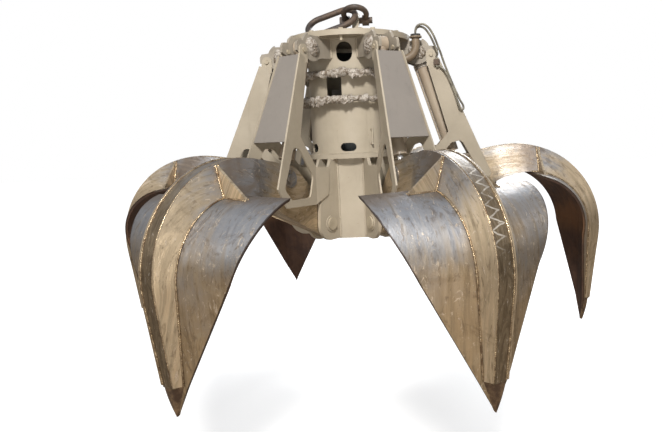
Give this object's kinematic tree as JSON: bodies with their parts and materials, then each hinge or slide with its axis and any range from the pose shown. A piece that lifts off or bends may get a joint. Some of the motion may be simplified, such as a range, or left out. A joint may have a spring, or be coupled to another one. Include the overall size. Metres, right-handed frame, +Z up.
{
  "type": "hydraulic grab bucket",
  "caption": "Electro-hydraulic orange-peel grab: round column, guarded cylinders in slanted side plates, curved box-beam tines with cupped shells, shackle and long link on top",
  "frame": {"origin": "on the column's axis at ground level, below the tips of the open tines", "axes": "+Z up along the column; +X outward through the first tine and the side with the cable elbow; -Y is the front with the service door"},
  "size_m": [3.8638, 3.4336, 2.5699],
  "materials": {
    "frame_paint": "beige paint, satin",
    "cover_paint": "light grey-beige primer",
    "zinc_bolts": "painted-over steel bolts",
    "dark_steel": "dark forged steel, rusty",
    "pipe_film": "pipes wrapped in ragged film",
    "black_rubber": "black rubber",
    "cable_sheath": "grey-olive cable sheath",
    "pin_steel": "machined steel, greased",
    "motor_paint": "grey-blue paint",
    "pump_iron": "cast iron",
    "beam_steel": "bare plate under golden-brown lacquer",
    "shell_steel": "bare hardened plate",
    "tip_steel": "cast wear steel",
    "cylinder_paint": "brownish primer",
    "chromed_rod": "chromed rod"
  },
  "bodies": {
    "frame": {"top_flange": "frame_paint", "flange_bolts": "zinc_bolts", "lifting_lug": "frame_paint", "column_tube": "frame_paint", "upper_lugs": "frame_paint", "ring_plate": "frame_paint", "lower_housing": "frame_paint", "lower_lugs": "frame_paint", "base_plate": "frame_paint", "door_plate": "frame_paint", "ring_mains": "pipe_film", "cable_elbow": "frame_paint", "cable_grommet": "black_rubber", "supply_cable_1": "cable_sheath", "supply_cable_2": "cable_sheath", "cable_clamp": "dark_steel", "guard_plates": "frame_paint", "guard_covers": "cover_paint", "guard_bolts": "zinc_bolts", "hinge_pins": "pin_steel", "cylinder_pins": "pin_steel", "electric_motor": "motor_paint", "hydraulic_pump": "pump_iron", "valve_block": "pump_iron", "oil_tank": "frame_paint"},
    "shackle": {"shackle_bow": "dark_steel", "shackle_pin": "dark_steel"},
    "long_link": {"master_link": "dark_steel"},
    "tine_1": {"tine_beam_1": "beam_steel", "tine_shell_1": "shell_steel", "tine_tip_1": "tip_steel"},
    "barrel_1": {"cylinder_barrel_1": "cylinder_paint"},
    "rod_1": {"cylinder_rod_1": "chromed_rod"},
    "tine_2": {"tine_beam_2": "beam_steel", "tine_shell_2": "shell_steel", "tine_tip_2": "tip_steel"},
    "barrel_2": {"cylinder_barrel_2": "cylinder_paint"},
    "rod_2": {"cylinder_rod_2": "chromed_rod"},
    "tine_3": {"tine_beam_3": "beam_steel", "tine_shell_3": "shell_steel", "tine_tip_3": "tip_steel"},
    "barrel_3": {"cylinder_barrel_3": "cylinder_paint"},
    "rod_3": {"cylinder_rod_3": "chromed_rod"},
    "tine_4": {"tine_beam_4": "beam_steel", "tine_shell_4": "shell_steel", "tine_tip_4": "tip_steel"},
    "barrel_4": {"cylinder_barrel_4": "cylinder_paint"},
    "rod_4": {"cylinder_rod_4": "chromed_rod"},
    "tine_5": {"tine_beam_5": "beam_steel", "tine_shell_5": "shell_steel", "tine_tip_5": "tip_steel"},
    "barrel_5": {"cylinder_barrel_5": "cylinder_paint"},
    "rod_5": {"cylinder_rod_5": "chromed_rod"},
    "tine_6": {"tine_beam_6": "beam_steel", "tine_shell_6": "shell_steel", "tine_tip_6": "tip_steel"},
    "barrel_6": {"cylinder_barrel_6": "cylinder_paint"},
    "rod_6": {"cylinder_rod_6": "chromed_rod"}
  },
  "joints": [
    {"name": "shackle_swing", "type": "hinge", "parent": "frame", "child": "shackle", "pos_m": [0.068, 0, 2.463], "axis": [-1, 0, 0], "range_deg": [0, 55]},
    {"name": "link_swing", "type": "hinge", "parent": "shackle", "child": "long_link", "pos_m": [0.068, -0.08247, 2.50146], "axis": [-0.2056, 0.7071, 0.6766], "range_deg": [0, 40]},
    {"name": "tine_hinge_1", "type": "hinge", "parent": "frame", "child": "tine_1", "pos_m": [0.416, 0, 0.92], "axis": [0, 1, 0], "range_deg": [-3, 70.57]},
    {"name": "barrel_hinge_1", "type": "hinge", "parent": "frame", "child": "barrel_1", "pos_m": [0.535, 0, 2.2], "axis": [0, 1, 0], "range_deg": [-0.25, 4.65]},
    {"name": "rod_slide_1", "type": "slide", "parent": "barrel_1", "child": "rod_1", "axis": [0.3084, 0, -0.9513], "range_m": [-0.0274, 0.6343]},
    {"name": "tine_hinge_2", "type": "hinge", "parent": "frame", "child": "tine_2", "pos_m": [0.208, 0.36027, 0.92], "axis": [-0.866, 0.5, 0], "range_deg": [-3, 70.57]},
    {"name": "barrel_hinge_2", "type": "hinge", "parent": "frame", "child": "barrel_2", "pos_m": [0.2675, 0.46332, 2.2], "axis": [-0.866, 0.5, 0], "range_deg": [-0.25, 4.65]},
    {"name": "rod_slide_2", "type": "slide", "parent": "barrel_2", "child": "rod_2", "axis": [0.1542, 0.2671, -0.9513], "range_m": [-0.0274, 0.6343]},
    {"name": "tine_hinge_3", "type": "hinge", "parent": "frame", "child": "tine_3", "pos_m": [-0.208, 0.36027, 0.92], "axis": [-0.866, -0.5, 0], "range_deg": [-3, 70.57]},
    {"name": "barrel_hinge_3", "type": "hinge", "parent": "frame", "child": "barrel_3", "pos_m": [-0.2675, 0.46332, 2.2], "axis": [-0.866, -0.5, 0], "range_deg": [-0.25, 4.65]},
    {"name": "rod_slide_3", "type": "slide", "parent": "barrel_3", "child": "rod_3", "axis": [-0.1542, 0.2671, -0.9513], "range_m": [-0.0274, 0.6343]},
    {"name": "tine_hinge_4", "type": "hinge", "parent": "frame", "child": "tine_4", "pos_m": [-0.416, 0, 0.92], "axis": [0, -1, 0], "range_deg": [-3, 70.57]},
    {"name": "barrel_hinge_4", "type": "hinge", "parent": "frame", "child": "barrel_4", "pos_m": [-0.535, 0, 2.2], "axis": [0, -1, 0], "range_deg": [-0.25, 4.65]},
    {"name": "rod_slide_4", "type": "slide", "parent": "barrel_4", "child": "rod_4", "axis": [-0.3084, 0, -0.9513], "range_m": [-0.0274, 0.6343]},
    {"name": "tine_hinge_5", "type": "hinge", "parent": "frame", "child": "tine_5", "pos_m": [-0.208, -0.36027, 0.92], "axis": [0.866, -0.5, 0], "range_deg": [-3, 70.57]},
    {"name": "barrel_hinge_5", "type": "hinge", "parent": "frame", "child": "barrel_5", "pos_m": [-0.2675, -0.46332, 2.2], "axis": [0.866, -0.5, 0], "range_deg": [-0.25, 4.65]},
    {"name": "rod_slide_5", "type": "slide", "parent": "barrel_5", "child": "rod_5", "axis": [-0.1542, -0.2671, -0.9513], "range_m": [-0.0274, 0.6343]},
    {"name": "tine_hinge_6", "type": "hinge", "parent": "frame", "child": "tine_6", "pos_m": [0.208, -0.36027, 0.92], "axis": [0.866, 0.5, 0], "range_deg": [-3, 70.57]},
    {"name": "barrel_hinge_6", "type": "hinge", "parent": "frame", "child": "barrel_6", "pos_m": [0.2675, -0.46332, 2.2], "axis": [0.866, 0.5, 0], "range_deg": [-0.25, 4.65]},
    {"name": "rod_slide_6", "type": "slide", "parent": "barrel_6", "child": "rod_6", "axis": [0.1542, -0.2671, -0.9513], "range_m": [-0.0274, 0.6343]}
  ],
  "couplings": [
    {"joint": "barrel_hinge_1", "follows": "tine_hinge_1", "ratio": 0.065134},
    {"joint": "rod_slide_1", "follows": "tine_hinge_1", "m_per_rad": 0.51457},
    {"joint": "barrel_hinge_2", "follows": "tine_hinge_2", "ratio": 0.065134},
    {"joint": "rod_slide_2", "follows": "tine_hinge_2", "m_per_rad": 0.51457},
    {"joint": "barrel_hinge_3", "follows": "tine_hinge_3", "ratio": 0.065134},
    {"joint": "rod_slide_3", "follows": "tine_hinge_3", "m_per_rad": 0.51457},
    {"joint": "barrel_hinge_4", "follows": "tine_hinge_4", "ratio": 0.065134},
    {"joint": "rod_slide_4", "follows": "tine_hinge_4", "m_per_rad": 0.51457},
    {"joint": "barrel_hinge_5", "follows": "tine_hinge_5", "ratio": 0.065134},
    {"joint": "rod_slide_5", "follows": "tine_hinge_5", "m_per_rad": 0.51457},
    {"joint": "barrel_hinge_6", "follows": "tine_hinge_6", "ratio": 0.065134},
    {"joint": "rod_slide_6", "follows": "tine_hinge_6", "m_per_rad": 0.51457}
  ]
}
